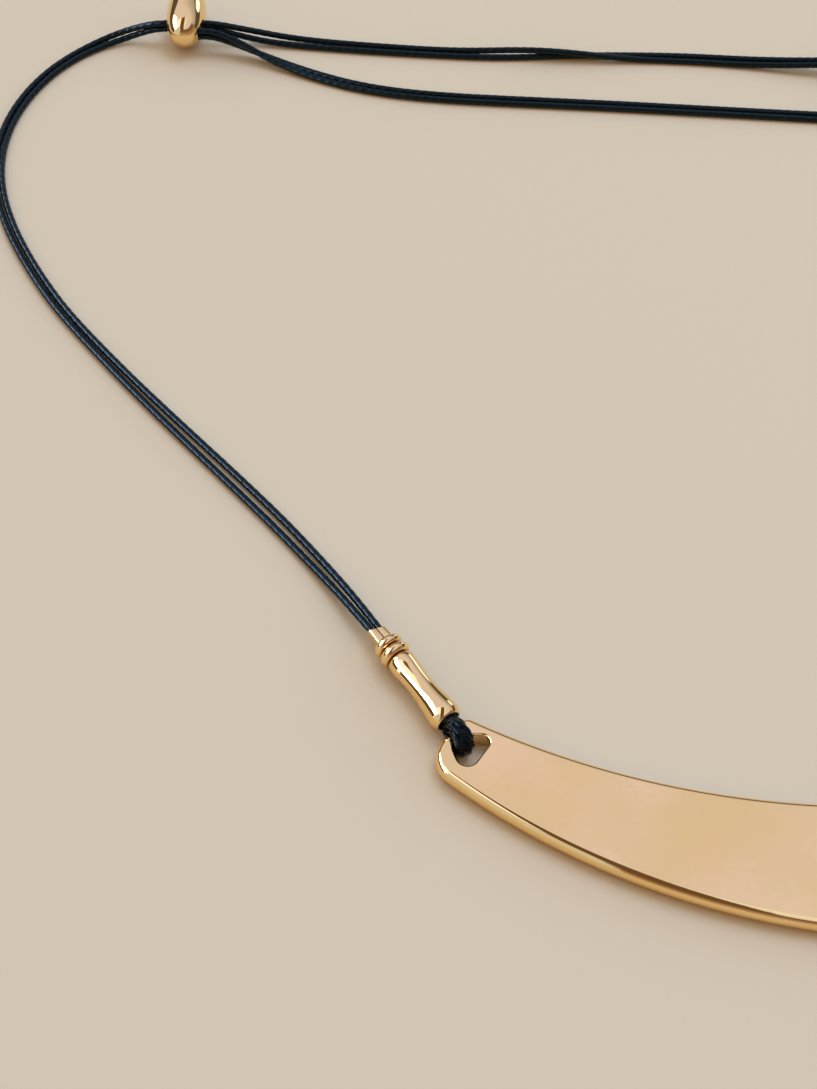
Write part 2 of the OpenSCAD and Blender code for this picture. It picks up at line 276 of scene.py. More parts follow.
roundSize = (cords["diameter"], cords["diameter"])
leftPair = (
    neckRows(1) + plain(cords["left"]) + slotRows(bead["leftSlot"], bead["leftRun"])
    + plain(cords["tail"]) + knotRows()
)
rightPair = (
    neckRows(-1) + plain(cords["right"])
    + slotRows(bead["rightSlot"], (*bead["rightRun"], bead["blindTo"]))
)
cordPieces = {
    node: cordOfPair(name, pair, side)
    for node, name, pair, side in (
        ("cord_left_a", "leftCordOuter", leftPair, 1),
        ("cord_left_b", "leftCordInner", leftPair, -1),
        ("cord_right_a", "rightCordInner", rightPair, 1),
        ("cord_right_b", "rightCordOuter", rightPair, -1),
    )
}
for node, (piece, places) in cordPieces.items():
    print("cord", piece.name, round(lengthOf(places) / mm, 1), "mm long")


# Tools of the modelling

def chooseOnly(piece):
    bpy.ops.object.select_all(action="DESELECT")
    piece.select_set(True)
    bpy.context.view_layer.objects.active = piece


def settled(piece):
    # the place, turn and size go into the mesh, and the object stays at the origin
    chooseOnly(piece)
    bpy.ops.object.transform_apply(location=True, rotation=True, scale=True)


def started(name):
    # the primitive that was just added gets its name, and its place goes into its mesh;
    # then its edit mode opens, with all of it selected
    piece = bpy.context.object
    piece.name = piece.data.name = name
    settled(piece)
    bpy.ops.object.mode_set(mode="EDIT")
    bpy.ops.mesh.select_all(action="SELECT")
    return piece


def pick(piece, kind, test):
    # selects the faces, edges or vertices that pass a test, by their place or normal
    bpy.ops.mesh.select_mode(type=kind)
    bpy.ops.mesh.select_all(action="DESELECT")
    shape = bmesh.from_edit_mesh(piece.data)
    parts = {"FACE": shape.faces, "EDGE": shape.edges, "VERT": shape.verts}[kind]
    for part in parts:
        if test(part):
            part.select_set(True)
    bmesh.update_edit_mesh(piece.data)


def cleaned(gap=0.0005):
    bpy.ops.mesh.select_all(action="SELECT")
    bpy.ops.mesh.remove_doubles(threshold=gap * mm)
    bpy.ops.mesh.normals_make_consistent(inside=False)
    bpy.ops.object.mode_set(mode="OBJECT")


def applied(piece, kind, **settings):
    chooseOnly(piece)
    modifier = piece.modifiers.new(kind.lower(), kind)
    for key, value in settings.items():
        setattr(modifier, key, value)
    bpy.ops.object.modifier_apply(modifier=modifier.name)


def cutBy(piece, cutter):
    applied(piece, "BOOLEAN", operation="DIFFERENCE", object=cutter, solver="EXACT")
    bpy.data.objects.remove(cutter)


def smoothed(piece, angle):
    chooseOnly(piece)
    bpy.ops.object.shade_smooth_by_angle(angle=radians(angle))
    return piece


def mirrored(piece, name):
    # a copy for the right side with its own mesh
    chooseOnly(piece)
    bpy.ops.object.duplicate(linked=False)
    copy = bpy.context.object
    copy.name = copy.data.name = name
    bpy.ops.object.mode_set(mode="EDIT")
    bpy.ops.mesh.select_all(action="SELECT")
    bpy.ops.transform.mirror(constraint_axis=(True, False, False), center_override=(0, 0, 0))
    bpy.ops.mesh.flip_normals()
    bpy.ops.object.mode_set(mode="OBJECT")
    return copy


def turnedOnLathe(name, rows, sides):
    # a ring that is pulled along and resized from row to row: [place along, radius]
    along, radius = rows[0]
    bpy.ops.object.select_all(action="DESELECT")
    bpy.ops.mesh.primitive_circle_add(
        vertices=sides, radius=radius * mm, location=(0, 0, along * mm), fill_type="NGON"
    )
    piece = started(name)
    for (along, radius), (toAlong, toRadius) in zip(rows, rows[1:]):
        bpy.ops.mesh.extrude_region_move(
            TRANSFORM_OT_translate={"value": (0, 0, (toAlong - along) * mm)}
        )
        grow = toRadius / radius
        bpy.ops.transform.resize(value=(grow, grow, 1), center_override=(0, 0, toAlong * mm))
    return piece


def throughRows(rows, steps):
    # a smooth line through every row
    out = []
    for i in range(len(rows) - 1):
        a, b = rows[max(i - 1, 0)], rows[i]
        c, d = rows[i + 1], rows[min(i + 2, len(rows) - 1)]
        for s in range(steps):
            t = s / steps
            out.append([
                (2 * q + (r - p) * t + (2 * p - 5 * q + 4 * r - z) * t * t
                 + (3 * q - p - 3 * r + z) * t ** 3) / 2
                for p, q, r, z in zip(a, b, c, d)
            ])
    out.append(list(rows[-1]))
    return out


# Plate

plate = {
    "innerRadius": 97.5,
    "outerRadius": 86,
    "width": 16.6,
    "thickness": 2.5,
    "edge": 0.9,
    "end": (-66, 29),
    "endTurn": 36.5,
    "farRadius": 1.2,
    "nearRadius": 3.6,
    "arcSteps": 150,
    "cornerSteps": 40,
    "edgeSteps": 12,
    "hole": [(-65.5, 29, 1.6), (-65, 23.2, 1.3), (-60, 27.7, 0.9)],  # corners: [x, y, radius]
    "holeSides": 120,
    "holeEdge": 0.32,
    "recessTurn": 283,
    "recess": (4, 2.9, 1.2),  # long, wide, deep
    "recessEdge": 0.4,
}


def angleOf(v):
    return degrees(atan2(v.y, v.x)) % 360


def cornerMiddle(radius, middle, reach):
    # middle of a round corner that touches the end edge, at a distance of reach from middle
    into, along = towards(plate["endTurn"] - 90), -towards(plate["endTurn"])
    p = Vector((*plate["end"], 0)) + radius * into - middle
    b = p.dot(along)
    return middle + p + (-b + sqrt(b * b - p.dot(p) + reach * reach)) * along


def swing(middle, turn, steps):
    # the chosen end of the line goes round a middle; with no window, spin turns the other way
    bpy.ops.mesh.spin(
        steps=steps, angle=radians(-turn), center=[v * mm for v in middle], axis=(0, 0, 1)
    )


def plateOutline():
    # half of the outline is drawn as arcs from the middle of the edge towards the neck
    wide = plate["width"] / 2
    inner = Vector((0, wide + plate["innerRadius"], 0))
    outer = Vector((0, plate["outerRadius"] - wide, 0))
    far = cornerMiddle(plate["farRadius"], inner, plate["innerRadius"] + plate["farRadius"])
    near = cornerMiddle(plate["nearRadius"], outer, plate["outerRadius"] - plate["nearRadius"])
    endOut = 90 + plate["endTurn"]
    bpy.ops.object.select_all(action="DESELECT")
    bpy.ops.mesh.primitive_plane_add(size=mm, location=(0, wide * mm, 0))
    piece = started("crescentPlate")
    bpy.ops.mesh.merge(type="CENTER")
    swing(inner, angleOf(far - inner) - 270, plate["arcSteps"])
    swing(far, endOut - angleOf(inner - far), plate["cornerSteps"])
    straight = near - far + (plate["nearRadius"] - plate["farRadius"]) * towards(endOut)
    bpy.ops.mesh.extrude_vertices_move(TRANSFORM_OT_translate={"value": straight * mm})
    swing(near, angleOf(near - outer) - endOut, plate["cornerSteps"])
    swing(outer, 270 - angleOf(near - outer), plate["arcSteps"])
    bpy.ops.object.mode_set(mode="OBJECT")
    applied(piece, "MIRROR", merge_threshold=0.001 * mm)
    return piece


def plateBody():
    # the bevel is made on a flattened plate, and stretched with it into a tall oval edge
    piece = plateOutline()
    squeeze = plate["edge"] / (plate["thickness"] / 2)
    high = plate["thickness"] * squeeze * mm
    bpy.ops.object.mode_set(mode="EDIT")
    bpy.ops.mesh.select_all(action="SELECT")
    bpy.ops.mesh.edge_face_add()
    bpy.ops.mesh.extrude_region_move(TRANSFORM_OT_translate={"value": (0, 0, high)})
    pick(piece, "EDGE", lambda e: abs(e.verts[0].co.z - e.verts[1].co.z) < 0.01 * mm)
    bpy.ops.mesh.bevel(
        offset=(plate["edge"] - 0.0004) * mm, segments=plate["edgeSteps"], profile=0.5,
        affect="EDGES", clamp_overlap=False,
    )
    bpy.ops.mesh.select_all(action="SELECT")
    bpy.ops.transform.resize(value=(1, 1, 1 / squeeze), center_override=(0, 0, 0))
    cleaned(0.002)
    return piece


def holeCutter():
    # three posts in the corners of the hole, and one hull around them
    corners = plate["hole"]
    bpy.ops.object.select_all(action="DESELECT")
    for i, (x, y, radius) in enumerate(corners):
        at = Vector((x, y, 0))
        before = (Vector((*corners[i - 1][:2], 0)) - at).normalized()
        after = (Vector((*corners[(i + 1) % 3][:2], 0)) - at).normalized()
        inwards = (before + after).normalized()
        middle = at + radius / sin(acos(before.dot(after)) / 2) * inwards
        middle.z = plate["thickness"] / 2
        bpy.ops.mesh.primitive_cylinder_add(
            vertices=plate["holeSides"], radius=radius * mm,
            depth=2 * plate["thickness"] * mm, location=middle * mm,
        )
        if i == 0:
            cutter = started("holeCutter")
    bpy.ops.mesh.select_all(action="SELECT")
    bpy.ops.mesh.convex_hull()
    bpy.ops.object.mode_set(mode="OBJECT")
    applied(cutter, "MIRROR", use_mirror_merge=False)
    return cutter


def recessCutter():
    # the low bed of a loop, open to the hole and to the end of the plate
    long, wide, deep = plate["recess"]
    middle = capMouth + long / 2 * towards(plate["recessTurn"])
    bpy.ops.object.select_all(action="DESELECT")
    bpy.ops.mesh.primitive_cube_add(
        size=mm, location=middle * mm, rotation=(0, 0, radians(plate["recessTurn"])),
        scale=(long, wide, 2 * deep),
    )
    cutter = started("recessCutter")
    bpy.ops.object.mode_set(mode="OBJECT")
    applied(
        cutter, "BEVEL", width=plate["recessEdge"] * mm, segments=4, limit_method="ANGLE",
    )
    applied(cutter, "MIRROR", use_mirror_merge=False)
    return cutter


def softenHoles(piece):
    # both rims of each hole are rounded, where its wall meets a flat face
    flat = (0, plate["thickness"] * mm)
    bpy.ops.object.mode_set(mode="EDIT")
    pick(piece, "EDGE", lambda e: (
        e.is_manifold and abs(e.calc_face_angle(0)) > radians(60)
        and all(min(abs(v.co.z - z) for z in flat) < 0.001 * mm for v in e.verts)
    ))
    bpy.ops.mesh.bevel(
        offset=plate["holeEdge"] * mm, segments=6, profile=0.5, affect="EDGES",
        clamp_overlap=True,
    )
    cleaned()


platePiece = plateBody()
cutBy(platePiece, holeCutter())
softenHoles(platePiece)
cutBy(platePiece, recessCutter())
smoothed(platePiece, 38)
applied(platePiece, "WEIGHTED_NORMAL", keep_sharp=True, weight=100)
print("plate modelled:", len(platePiece.data.polygons), "faces")


# End caps

cap.update({
    "lip": [(0.12, 1.42), (0.03, 1.47)],  # lip and body: [place along, radius]
    "body": [
        (0, 1.6), (0.25, 1.78), (0.7, 1.92), (1.3, 1.97), (2.2, 1.9), (3.5, 1.73), (5, 1.59),
        (6.5, 1.57), (8, 1.65), (9.1, 1.75), (9.8, 1.74), (10.2, 1.62), (10.4, 1.48),
    ],
    "bodySteps": 5,
    "bodyEnd": 10.45,
    "rings": [(11.24, 2.0, 0.72), (12.7, 1.88, 0.64)],  # [middle, radius, roundness]
    "ringSweep": 80,
    "ringSteps": 16,
    "core": 1.15,
    # where painted shade darkens the gold in the grooves between the rings and the body
    "grooves": (10.3, 13.3, 1.72, 0.4),  # from, to, radius where they begin, depth
    "mouthRadius": 1.42,
    "sides": 96,
    "neckFrom": 12.4,
    "neckSize": (2.24, 1.9),
    "neckCorner": 0.42,
    "neckWall": 0.16,
    "neckRim": 0.03,
    "neckBoreHigh": 1.3,
    "neckBoreDeep": 2.5,
    "neckSlant": 16,
    "neckLean": 20,
    "seam": (0.06, 0.13),  # aside, gap
    "seamDepth": 0.2,
})


def capRows():
    # the outside from the mouth's bore to the second ring: [place along, radius]
    rows = [(cap["bore"], cap["mouthRadius"]), *cap["lip"]]
    rows += [tuple(row) for row in throughRows(cap["body"], cap["bodySteps"])]
    rows.append((cap["bodyEnd"], cap["core"]))
    for middle, over, roundness in cap["rings"]:
        for i in range(cap["ringSteps"] + 1):
            a = radians(cap["ringSweep"] * (2 * i / cap["ringSteps"] - 1))
            rows.append((middle + roundness * sin(a), over - roundness + roundness * cos(a)))
        rows.append((middle + roundness, cap["core"]))
    return rows


def neckPiece():
    # the folded neck: a rounded block along Z, open at its end, with a seam on top
    wide, high = cap["neckSize"]
    long = cap["length"] - cap["neckFrom"]
    top = long / 2 * mm
    bpy.ops.object.select_all(action="DESELECT")
    bpy.ops.mesh.primitive_cube_add(size=mm, location=(0, 0, 0), scale=(wide, high, long))
    piece = started("capNeck")
    pick(piece, "EDGE", lambda e: abs(e.verts[0].co.z - e.verts[1].co.z) > 0.5 * mm)
    bpy.ops.mesh.bevel(offset=cap["neckCorner"] * mm, segments=8, profile=0.5, affect="EDGES")
    pick(piece, "FACE", lambda f: f.calc_center_median().z > top - 0.01 * mm)
    bpy.ops.mesh.inset(thickness=cap["neckWall"] * mm)
    flatten = cap["neckBoreHigh"] / (high - 2 * cap["neckWall"])
    bpy.ops.transform.resize(value=(1, flatten, 1), center_override=(0, 0, 0))
    pick(piece, "FACE", lambda f: f.calc_center_median().z > top - 0.01 * mm)
    bpy.ops.transform.rotate(
        value=radians(cap["neckSlant"]), orient_axis="Y", center_override=(0, 0, top)
    )
    bpy.ops.transform.rotate(
        value=radians(cap["neckLean"]), orient_axis="X", center_override=(0, 0, top)
    )
    pick(piece, "FACE", lambda f: f.normal.z > 0.5 and len(f.verts) > 4)
    bpy.ops.mesh.extrude_region_move(
        TRANSFORM_OT_translate={"value": (0, 0, -cap["neckBoreDeep"] * mm)}
    )
    cleaned()
    aside, gap = cap["seam"]
    bpy.ops.object.select_all(action="DESELECT")
    bpy.ops.mesh.primitive_cube_add(
        size=mm, location=(aside * mm, high / 2 * mm, 0),
        scale=(gap, 2 * cap["seamDepth"], 2 * long),
    )
    cutter = started("seamCutter")
    bpy.ops.object.mode_set(mode="OBJECT")
    cutBy(piece, cutter)
    applied(
        piece, "BEVEL", width=cap["neckRim"] * mm, segments=2, limit_method="ANGLE",
        angle_limit=radians(50),
    )
    piece.location = Vector((0, 0, cap["neckFrom"] + long / 2)) * mm
    settled(piece)
    return piece


def capPiece():
    piece = turnedOnLathe("endCapLeft", capRows(), cap["sides"])
    cleaned()
    neck = neckPiece()
    applied(piece, "BOOLEAN", operation="UNION", object=neck, solver="EXACT")
    bpy.data.objects.remove(neck)
    # an attribute marks how deep a point lies in the grooves and the seam: there the gold is
    # painted darker, as painted shade
    low, high, crown, depth = cap["grooves"]
    aside, gap = cap["seam"]
    seamFloor = cap["neckSize"][1] / 2 - cap["seamDepth"] / 2
    groove = piece.data.attributes.new("groove", "FLOAT", "POINT")
    for v, share in zip(piece.data.vertices, groove.data):
        x, y, z = v.co / mm
        if low < z < high:
            share.value = min(max((crown - hypot(x, y)) / depth, 0), 1)
        elif z > high and abs(x - aside) < gap and 0 < y < seamFloor:
            share.value = 1
    piece.rotation_euler = (pi / 2, 0, radians(cap["turn"] + 90))
    piece.location = (capMouth + Vector((0, 0, cap["height"]))) * mm
    settled(piece)
    return smoothed(piece, 40)


capLeft = capPiece()
capRight = mirrored(capLeft, "endCapRight")
print("end caps modelled:", len(capLeft.data.polygons), "faces each")


# Loops

loops = {
    # [along the cap or the recess, height, aside, width and height of the bundle]
    "rows": [
        (-3, 2.7, 0, 2.1, 1.3), (-1.5, 2.7, 0, 2.1, 1.3), (-0.4, 2.7, 0, 2.1, 1.3),
        (0.3, 2.7, 0, 2.1, 1.3), (0.8, 3, 0, 2.1, 1.5), (1.3, 3.42, 0.05, 2.2, 1.65),
        (1.9, 3.68, 0.1, 2.3, 1.8), (2.6, 3.7, 0.15, 2.4, 1.85), (3.5, 3.45, 0.2, 2.5, 1.85),
        (4.15, 2.6, 0.2, 2.5, 1.8), (4.15, 1.7, 0.1, 2.3, 1.7), (3.9, 0.95, 0, 2.2, 1.35),
        (3.15, 0.58, 0, 2.3, 1.1), (2.3, 0.57, 0, 2.3, 1.02), (1.6, 0.56, 0, 2.3, 1),
        (1.1, 0.56, 0, 2.2, 0.98), (0.75, 0.66, 0, 2.1, 0.98), (0.4, 1.05, 0, 2.1, 1.1),
        (0.05, 1.3, 0, 2.1, 1.25), (-0.4, 1.3, 0, 2.1, 1.3), (-1.5, 1.3, 0, 2.1, 1.3),
        (-3, 1.3, 0, 2.1, 1.3),
    ],
    "steps": 10,
    "strands": 5,
    "strandSize": 0.44,
    "pitch": 8.5,
    "sides": 12,
    "plies": 3,
    "plyDepth": 0.1,
    "plyPitch": 2.6,
}


def loopPiece():
    # twisted strands over the plate's end bar, down the hole and back below the bar
    rows = pulledCurve(loops["rows"], loops["steps"])
    turns = [cap["turn"] + 180 if row[0] < 0 else plate["recessTurn"] for row in rows]
    places = [
        capMouth + row[0] * towards(turn) + row[2] * towards(turn + 90) + Vector((0, 0, row[1]))
        for row, turn in zip(rows, turns)
    ]
    ways, runs = tangents(places), runsAlong(places)
    pieces = []
    for strand in range(loops["strands"]):
        centres, sideways, sizes = [], [], []
        for row, turn, place, way, run in zip(rows, turns, places, ways, runs):
            side = towards(turn + 90)
            up = side.cross(way).normalized()
            a = 2 * pi * (strand / loops["strands"] + run / loops["pitch"])
            wide, high = row[3], row[4]
            reach = (1 - loops["strandSize"]) / 2
            centres.append((place + reach * (wide * cos(a) * side + high * sin(a) * up)) * mm)
            sideways.append(side)
            sizes.append((wide * loops["strandSize"] * mm, high * loops["strandSize"] * mm))
        pieces.append(cordTube(
            f"loopStrand{strand}", centres, sideways, sizes, loops["sides"],
            loops["plies"], loops["plyDepth"], loops["plyPitch"] * mm,
        ))
    bpy.ops.object.select_all(action="DESELECT")
    for piece in pieces:
        piece.select_set(True)
    bpy.context.view_layer.objects.active = pieces[0]
    bpy.ops.object.join()
    pieces[0].name = pieces[0].data.name = "loopLeft"
    return pieces[0]


loopLeft = loopPiece()
loopRight = mirrored(loopLeft, "loopRight")
print("loops modelled:", len(loopLeft.data.polygons), "faces each")


# Slider bead

bead.update({
    "power": 2.5,  # of its outline: 2 is an ellipse, and more is fuller
    "steps": 60,
    "sides": 96,
    "slotWide": 1.2,
    "slotHigh": 2.3,
    "rim": 0.12,
})


def slotCutter(at, wayIn):
    # a rounded slot across the bead, which goes from the right as far as wayIn says
    long = bead["diameter"] / 2 + 1 - wayIn
    bpy.ops.object.select_all(action="DESELECT")
    bpy.ops.mesh.primitive_cube_add(
        size=mm, location=(0, 0, 0), scale=(bead["slotWide"], long, bead["slotHigh"])
    )
    cutter = started("slotCutter")
    pick(cutter, "EDGE", lambda e: abs(e.verts[0].co.y - e.verts[1].co.y) > 0.5 * mm)
    bpy.ops.mesh.bevel(
        offset=(bead["slotWide"] / 2 - 0.001) * mm, segments=8, profile=0.5, affect="EDGES",
    )
    cleaned()
    cutter.location = Vector((at, -(wayIn + long / 2), 0)) * mm
    settled(cutter)
    return cutter


def beadPiece():
    half, radius, power = bead["length"] / 2, bead["diameter"] / 2, bead["power"]
    rows = []
    for i in range(1, bead["steps"]):
        z = -half * cos(pi * i / bead["steps"])
        rows.append((z, radius * (1 - (abs(z) / half) ** power) ** (1 / power)))
    piece = turnedOnLathe("sliderBead", rows, bead["sides"])
    bpy.ops.mesh.edge_face_add()
    cleaned()
    piece.rotation_euler = (0, pi / 2, 0)
    settled(piece)
    cutBy(piece, slotCutter(bead["leftSlot"], -radius - 1))
    cutBy(piece, slotCutter(bead["rightSlot"], bead["blindTo"]))
    applied(
        piece, "BEVEL", width=bead["rim"] * mm, segments=3, limit_method="ANGLE",
        angle_limit=radians(40), use_clamp_overlap=True,
    )
    piece.rotation_euler = (0, 0, radians(bead["turn"]))
    piece.location = (beadMiddle + Vector((0, 0, radius))) * mm
    settled(piece)
    return smoothed(piece, 40)


sliderBead = beadPiece()
print("bead modelled:", len(sliderBead.data.polygons), "faces")


# Knot at the end of the tail

knot.update({
    "turns": 1.5,
    "sway": 0.9,
    "sink": 0.6,
    "splay": 0.3,
    "steps": 160,
    "stubSteps": 12,
    "sides": 18,
    "plyDepth": 0.07,
})


def knotPiece():
    # the cords wind one and a half times round each other and end in two short stubs
    along, aside = towards(knot["turn"]), towards(knot["turn"] + 90)
    up = Vector((0, 0, 1))
    middle = knotMiddle + knot["radius"] * up
    pieces = []
    for side in (1, -1):
        places, sideways = [], []
        for i in range(knot["steps"] + 1):
            t = i / knot["steps"]
            a = 2 * pi * (knot["turns"] * t + side / 4)
            swell = sin(pi * t) ** 0.5
            x = -knot["length"] / 2 + knot["length"] * t + knot["sway"] * sin(4 * pi * t)
            off = swell * (knot["radius"] - knot["sink"])
            base = (1 - swell) * side * cords["spread"] / 2
            places.append((
                middle + x * along + (base + off * cos(a)) * aside + off * sin(a) * up
            ) * mm)
            sideways.append(aside)
        for i in range(1, knot["stubSteps"] + 1):
            t = i / knot["stubSteps"]
            x = knot["length"] / 2 + knot["stub"] * t
            off = side * (cords["spread"] / 2 + knot["splay"] * t ** 2)
            places.append((middle + x * along + off * aside) * mm)
            sideways.append(aside)
        sizes = [(cords["diameter"] * mm, cords["diameter"] * mm)] * len(places)
        pieces.append(cordTube(
            "knotCordOver" if side == 1 else "knotCordUnder", places, sideways, sizes,
            knot["sides"], cords["plies"], knot["plyDepth"], cords["pitch"] * mm,
        ))
    return pieces


knotPieces = knotPiece()
print("knot modelled")


# Materials

class Wire:
    # a socket of a node tree; Python's operators on it add Math nodes
    def __init__(self, tree, socket=None):
        self.tree, self.socket = tree, socket

    def node(self, kind, settings=None, sockets=None, output=0):
        made = self.tree.nodes.new(kind)
        for key, value in (settings or {}).items():
            setattr(made, key, value)
        for key, value in (sockets or {}).items():
            if isinstance(value, Wire):
                self.tree.links.new(value.socket, made.inputs[key])
            else:
                made.inputs[key].default_value = value
        return Wire(self.tree, made.outputs[output] if made.outputs else None)

    def maths(self, operation, *values):
        return self.node("ShaderNodeMath", {"operation": operation}, dict(enumerate(values)))

    def __add__(self, other):
        return self.maths("ADD", self, other)

    __radd__ = __add__

    def __sub__(self, other):
        return self.maths("SUBTRACT", self, other)

    def __rsub__(self, other):
        return self.maths("SUBTRACT", other, self)

    def __mul__(self, other):
        return self.maths("MULTIPLY", self, other)

    __rmul__ = __mul__

    def __truediv__(self, other):
        return self.maths("DIVIDE", self, other)


def newLook(name):
    look = bpy.data.materials.new(name)
    look.use_nodes = True
    look.node_tree.nodes.clear()
    return look, Wire(look.node_tree)


def grain(wire, place, scale, detail=2, rough=0.5):
    return wire.node(
        "ShaderNodeTexNoise", {},
        {"Vector": place, "Scale": scale, "Detail": detail, "Roughness": rough},
    )


def blendOf(wire, mask, a, b):
    a, b = (c if isinstance(c, Wire) else (*c, 1) for c in (a, b))
    return wire.node("ShaderNodeMix", {"data_type": "RGBA"}, {0: mask, 6: a, 7: b}, output=2)


def soft(wire, value, low, high):
    # rises smoothly from 0 at low to 1 at high
    return wire.node(
        "ShaderNodeMapRange", {"interpolation_type": "SMOOTHSTEP"},
        {"Value": value, "From Min": low, "From Max": high},
    )


gold = {
    "pale": (0.97, 0.69, 0.32),
    "deep": (0.95, 0.66, 0.28),
    # painted shade: the dark red-brown that the gold is painted in the cap's grooves and seam
    "groove": (0.3, 0.11, 0.03),
    "clouds": 70,
    "roughness": 0.015,
    "haze": (160, 0.06),  # here and in the next three: scale, strength
    "broadWaves": (90, 0.4),
    "fineWaves": (600, 0.25),
    "scratches": (2600, 0.012),
    "relief": 0.03,
}


def goldLook():
    look, wire = newLook("polishedGold")
    place = wire.node("ShaderNodeTexCoord", output="Object")
    clouds = grain(wire, place, gold["clouds"], 3)
    mask = wire.node(
        "ShaderNodeMapRange", {}, {"Value": clouds, "From Min": 0.38, "From Max": 0.62}
    )

    def pattern(name, detail, rough=0.5):
        # a pattern by its scale and its strength
        scale, strength = gold[name]
        return grain(wire, place, scale, detail, rough) * strength

    height = pattern("broadWaves", 1) + pattern("fineWaves", 1) + pattern("scratches", 3, 0.6)
    bump = wire.node("ShaderNodeBump", {}, {
        "Height": height, "Strength": 1.0, "Distance": gold["relief"] * mm,
    })
    # painted shade in the grooves and the seam, by the cap's attribute: the base colour turns
    # dark red-brown there
    groove = wire.node("ShaderNodeAttribute", {"attribute_name": "groove"}, output="Fac")
    tone = blendOf(wire, mask, gold["deep"], gold["pale"])
    surface = wire.node("ShaderNodeBsdfPrincipled", {}, {
        "Base Color": blendOf(wire, groove, tone, gold["groove"]),
        "Metallic": 1.0,
        "Roughness": pattern("haze", 4, 0.6) + gold["roughness"],
        "Normal": bump,
    })
    wire.node("ShaderNodeOutputMaterial", {}, {"Surface": surface})
    return look


waxedCord = {
    "deep": (0.0006, 0.0018, 0.003),
    "pale": (0.002, 0.006, 0.009),
    "roughness": 0.03,
    "shine": 0.28,
    "fibres": 5.0,
    "pitch": cords["pitch"],
    "relief": 0.035,
}
twistedCord = {
    "deep": (0.0003, 0.0005, 0.0008),
    "pale": (0.001, 0.0025, 0.005),
    "roughness": 0.05,
    "shine": 0.19,
    "fibres": 2.4,
    "pitch": loops["plyPitch"],
    "relief": 0.1,
}
cordWax = {
    "tint": (0.6, 0.92, 1.0),
    "fibresAlong": 900,
    "patches": 0.35,
    "patchHeight": 0.6,
    "patchRoughness": 0.12,
    "creaseSlope": 3,
    "creaseHeight": 0.8,
    "bump": 0.9,
}


def cordLook(name, kind):
    # fine fibres that wind round the cord under its wax
    look, wire = newLook(name)
    uv = wire.node("ShaderNodeUVMap", {"uv_map": "round and along"})
    around, along = (
        wire.node("ShaderNodeSeparateXYZ", {}, {0: uv}, output=i) for i in range(2)
    )
    turn = (around - along / (kind["pitch"] * mm)) * (2 * pi)
    ring = wire.node("ShaderNodeCombineXYZ", {}, {
        0: wire.maths("COSINE", turn) * kind["fibres"],
        1: wire.maths("SINE", turn) * kind["fibres"],
        2: along * cordWax["fibresAlong"],
    })
    fibres = grain(wire, ring, 1.0, 2)
    wax = grain(wire, ring, cordWax["patches"], 2)
    mask = wire.node(
        "ShaderNodeMapRange", {}, {"Value": fibres, "From Min": 0.4, "From Max": 0.62}
    )
    # the creases between the plies
    swell = wire.maths("ABSOLUTE", wire.maths("SINE", turn * (cords["plies"] / 2)))
    crease = wire.maths("MINIMUM", swell * cordWax["creaseSlope"], 1)
    height = fibres + wax * cordWax["patchHeight"] + crease * cordWax["creaseHeight"]
    bump = wire.node("ShaderNodeBump", {}, {
        "Height": height, "Strength": cordWax["bump"], "Distance": kind["relief"] * mm,
    })
    surface = wire.node("ShaderNodeBsdfPrincipled", {}, {
        "Base Color": blendOf(wire, mask, kind["deep"], kind["pale"]),
        "Roughness": wax * cordWax["patchRoughness"] + kind["roughness"],
        "Specular IOR Level": kind["shine"],
        "Specular Tint": (*cordWax["tint"], 1),
        "Normal": bump,
    })
    wire.node("ShaderNodeOutputMaterial", {}, {"Surface": surface})
    return look


def dress(piece, look):
    piece.data.materials.clear()
    piece.data.materials.append(look)
    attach(piece, "root")


goldFinish = goldLook()
waxFinish = cordLook("waxedCord", waxedCord)
twistFinish = cordLook("twistedCord", twistedCord)

for piece, node in (
    (platePiece, "plate"), (capLeft, "end_cap_left"), (capRight, "end_cap_right"),
    (sliderBead, "slider_bead"),
):
    dress(piece, goldFinish)
    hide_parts(node)
for piece, node in ((loopLeft, "loop_left"), (loopRight, "loop_right")):
    dress(piece, twistFinish)
    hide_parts(node)
for piece in knotPieces:
    dress(piece, waxFinish)
    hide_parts("tail_knot")
for node, (piece, places) in cordPieces.items():
    dress(piece, waxFinish)
    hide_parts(node)
    lengthOf(places)
    knotPieces if node == "cord_left_a" else []
print("pieces dressed")


# Floor and light

studio = {
    "floor": (0.48, 0.42, 0.355),
    "dome": (1.17, 1.17, 1.16),
    "domeBack": (1.6, 1.82, 1.88),
    "domeFront": (0.8, 0.485, 0.2),
    "domeWay": (0.5, 0.86, 0.0),
    "ceiling": (0.735, 0.735, 0.97),
    "ceilingWarm": (0.79, 0.77, 1.16),
    "lowBack": (0.42, 0.43, 0.55),
    "window": (9.0, 9.6, 13.0),
    "lamp": (1.35, 1.35, 1.8),
    "wall": (0.66, 0.7, 0.78),
    "front": (0.15, 0.088, 0.05),
    "lowFront": (0.46, 0.34, 0.27),
    "strip": (0.88, 0.96, 1.15),
    "horizon": (0.1, 0.09, 0.08),
    "patches": 20,
    "patchEdge": (0.42, 0.66),
    "frontEdge": (0.7, 0.0),
    "spot": (1.5, 1.7, 2.3),
    "spotWay": (0.72, 0.67, 0.17),
    "spotEdge": (0.983, 0.991),
    "keyPlace": (0.5, 0.6, 1.5),
    "keySize": 0.7,
    "keyPower": 6.3,
    "keyColour": (0.84, 1.0, 1.32),
}
roomLines = {"aside": -0.33, "line": -0.55, "slant": 0.4}  # each is x, and so much of y
